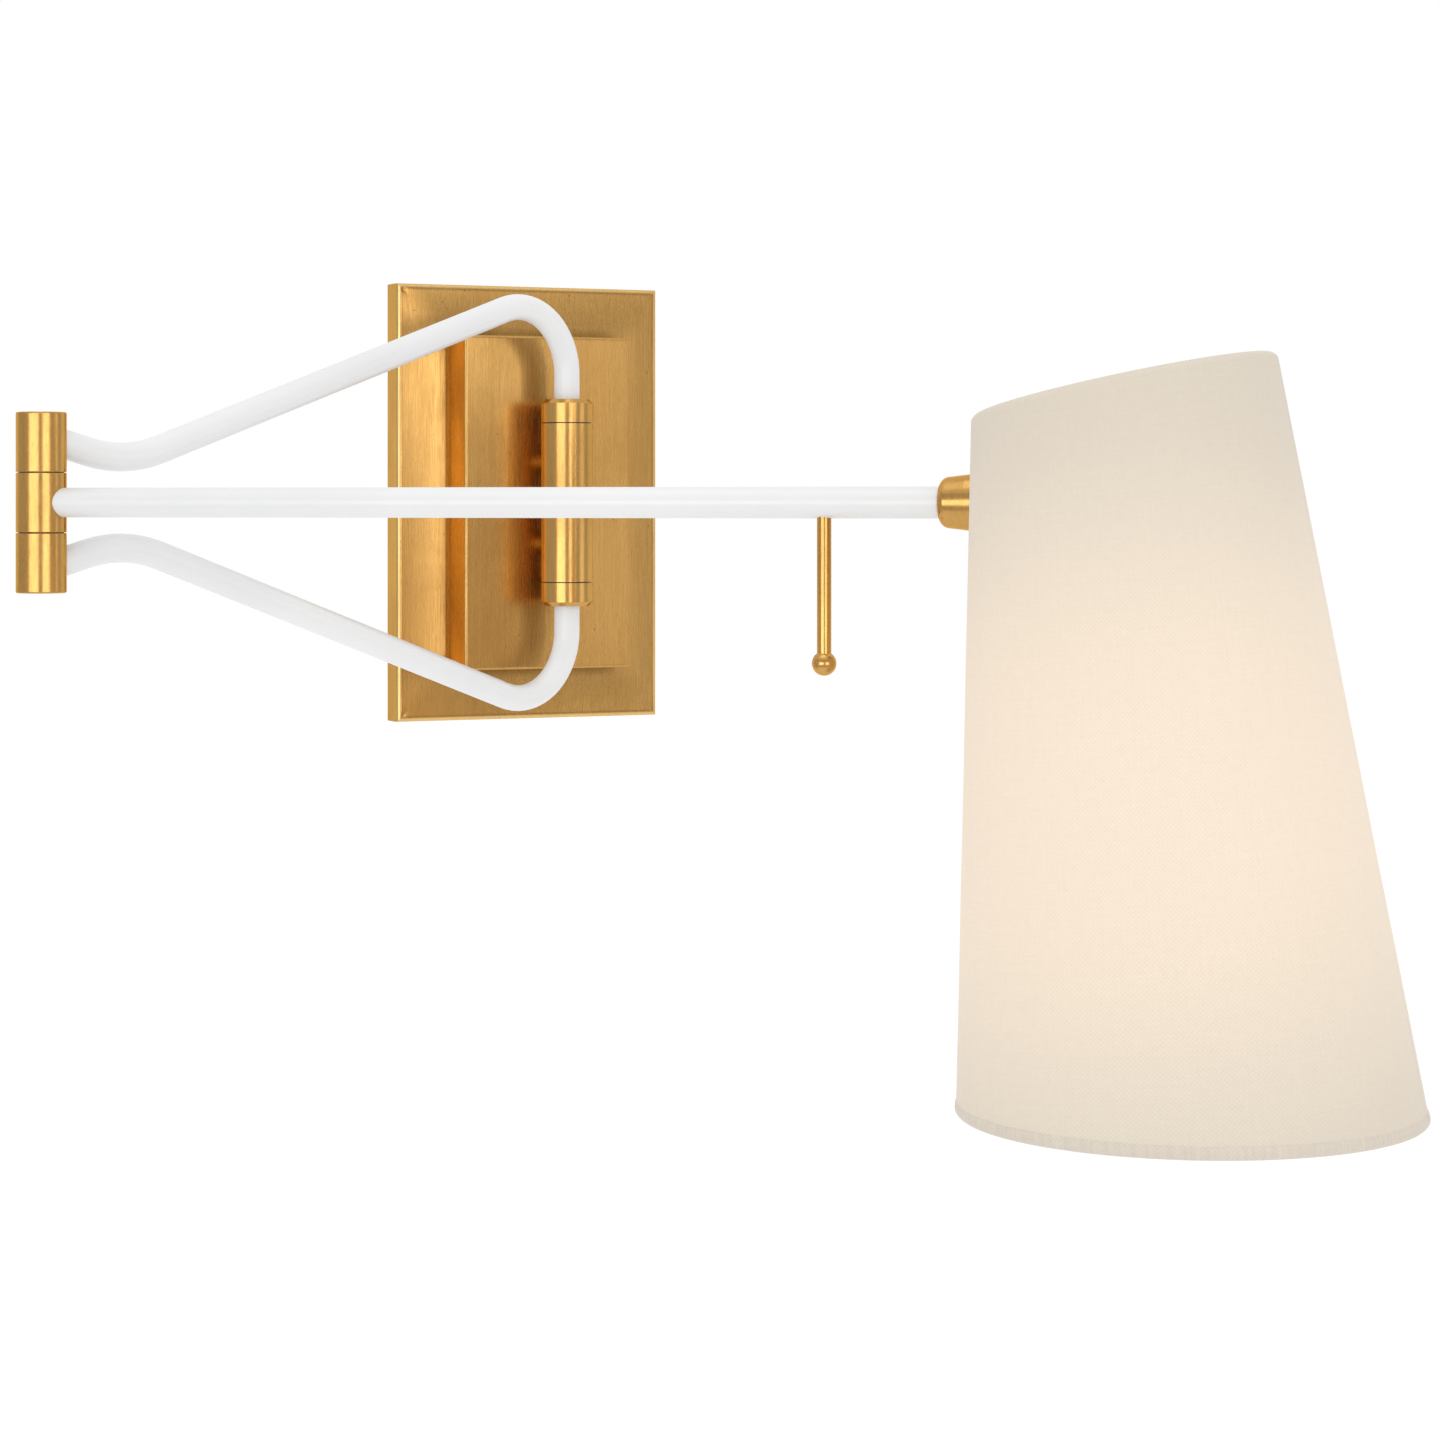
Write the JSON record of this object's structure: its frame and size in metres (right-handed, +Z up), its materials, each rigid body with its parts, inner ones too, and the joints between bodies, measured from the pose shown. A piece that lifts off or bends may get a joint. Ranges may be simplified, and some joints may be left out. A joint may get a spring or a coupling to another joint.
{
  "type": "swing arm wall sconce",
  "caption": "Wall lamp whose jointed arm folds at the wall and at an elbow, with a pull rod switch and a tapered slanted-top fabric shade on a swivelling end.",
  "frame": {"origin": "centre of the back plate's rear face, on the wall plane", "axes": "+X along the wall to the viewer's right, +Y into the wall, +Z up"},
  "size_m": [0.3785, 0.4931, 0.28],
  "materials": {
    "antique_brass": "brushed antique brass, lacquered",
    "brass_hardware": "turned, satin",
    "white_enamel": "satin white enamel",
    "plated_steel": "zinc plated",
    "green_steel": "green dyed zinc",
    "nylon": "dark nylon",
    "wire_insulation": "smooth thermoplastic",
    "connector_plastic": "moulded thermoplastic",
    "spring_steel": "bright wire",
    "switch_phenolic": "moulded phenolic",
    "socket_phenolic": "moulded phenolic",
    "ring_wire": "white powder coat",
    "shade_styrene": "translucent white styrene",
    "shade_linen": "plain weave linen",
    "hem_tape": "folded linen tape",
    "bulb_cap_metal": "bright rolled thread",
    "bulb_glass": "frosted, lit"
  },
  "bodies": {
    "wall_mount": {"mounting_strap": "plated_steel", "ground_screw": "green_steel", "side_screws": "brass_hardware", "base_plate": "antique_brass", "raised_block": "antique_brass", "block_screws": "plated_steel", "upper_post": "antique_brass", "lower_post": "antique_brass", "post_washers": "plated_steel", "post_nuts": "plated_steel", "pivot_sleeve": "antique_brass", "wire_nuts": "connector_plastic", "lead_wires": "wire_insulation"},
    "inner_arm": {"upper_collar": "antique_brass", "lower_collar": "antique_brass", "collar_set_screws": "plated_steel", "pivot_spindle": "brass_hardware", "pivot_washers": "nylon", "upper_arm_tube": "white_enamel", "lower_arm_tube": "white_enamel", "upper_knuckle": "antique_brass", "lower_knuckle": "antique_brass", "knuckle_pin": "brass_hardware", "knuckle_plugs": "antique_brass", "knuckle_washers": "nylon", "knuckle_set_screws": "plated_steel"},
    "outer_arm": {"middle_knuckle": "antique_brass", "outer_arm_tube": "white_enamel", "switch_body": "switch_phenolic", "end_bush": "brass_hardware", "return_spring": "spring_steel"},
    "pull_switch": {"pull_rod": "antique_brass", "pull_ball": "antique_brass", "rod_collar": "brass_hardware"},
    "shade_head": {"swivel_cup": "antique_brass", "swivel_stem": "brass_hardware", "stem_clip": "spring_steel", "friction_washer": "nylon", "saddle_washer": "brass_hardware", "stem_locknut": "brass_hardware", "socket_elbow": "antique_brass", "socket_nipple": "plated_steel", "socket_cap": "antique_brass", "socket_shell": "socket_phenolic", "socket_insulator": "socket_phenolic", "centre_contact": "brass_hardware", "screw_shell": "brass_hardware", "retaining_ring": "socket_phenolic", "shade_fitter": "ring_wire", "top_ring": "ring_wire", "bottom_ring": "ring_wire", "shade_liner": "shade_styrene", "shade_fabric": "shade_linen", "top_hem": "hem_tape", "bottom_hem": "hem_tape", "bulb_base": "bulb_cap_metal", "bulb_glass": "bulb_glass"}
  },
  "joints": [
    {"name": "wall_swing", "type": "hinge", "parent": "wall_mount", "child": "inner_arm", "pos_m": [0, -0.0542, 0], "axis": [0, 0, 1], "range_deg": [-22, 157]},
    {"name": "elbow_swing", "type": "hinge", "parent": "inner_arm", "child": "outer_arm", "pos_m": [-0.23477, -0.15193, 0], "axis": [0, 0, 1], "range_deg": [-265, 34]},
    {"name": "shade_swivel", "type": "hinge", "parent": "outer_arm", "child": "shade_head", "pos_m": [0.00526, -0.36881, 0], "axis": [0.742, -0.6704, 0], "range_deg": [-45, 45]},
    {"name": "switch_pull", "type": "slide", "parent": "outer_arm", "child": "pull_switch", "axis": [0, 0, -1], "range_m": [0, 0.003], "stiffness_N_per_m": 400, "springref_m": -0.0015, "deforming": ["return_spring"]}
  ]
}
